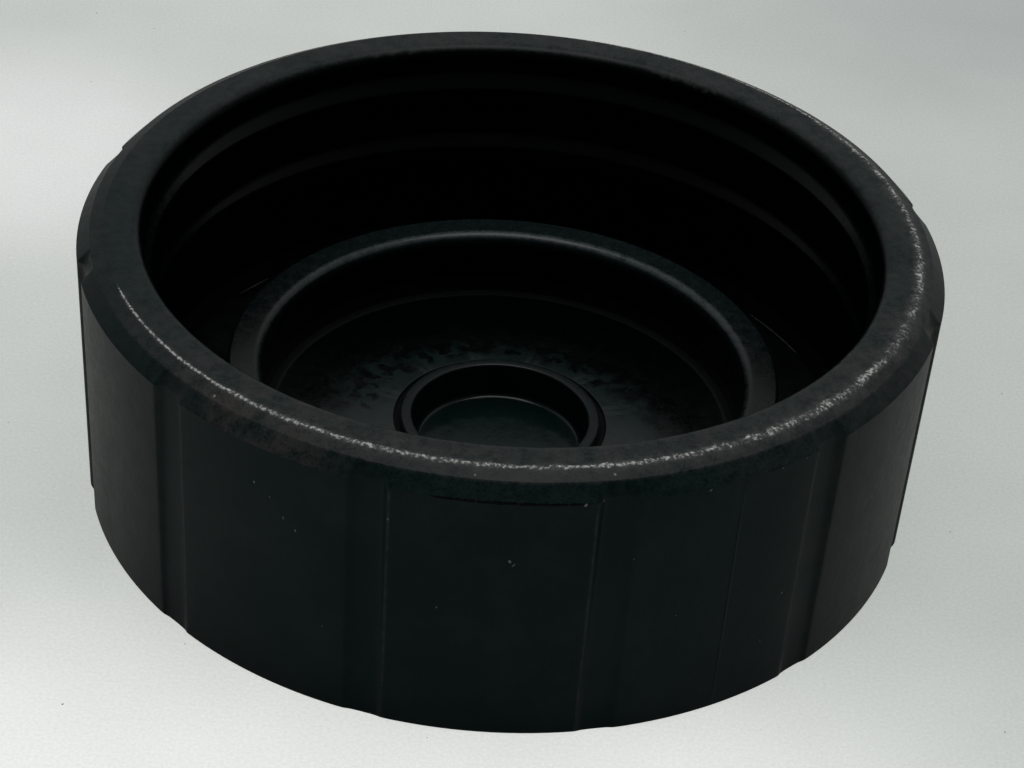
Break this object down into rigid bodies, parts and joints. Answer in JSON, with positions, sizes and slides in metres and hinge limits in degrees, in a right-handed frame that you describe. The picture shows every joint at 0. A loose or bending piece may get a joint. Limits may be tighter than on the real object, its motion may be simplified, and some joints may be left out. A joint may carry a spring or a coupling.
{
  "type": "oil filler cap",
  "caption": "Round moulded plastic cap with a finger-grooved skirt, beaded inner wall, standing ring and flat rubber seal.",
  "frame": {"origin": "centre of the flat closed face, which the cap lies on", "axes": "+Z along the cap's own axis, from the closed face out of the open mouth; -Y towards the camera of the picture, halfway between two finger grooves"},
  "size_m": [0.0724, 0.0724, 0.025],
  "materials": {
    "black_plastic": "matte black moulding, rubbed pale along the rim's outer edge",
    "seal_rubber": "oil-darkened black rubber"
  },
  "bodies": {
    "root": {"cap_body": "black_plastic", "sealing_ring": "seal_rubber"}
  },
  "joints": []
}
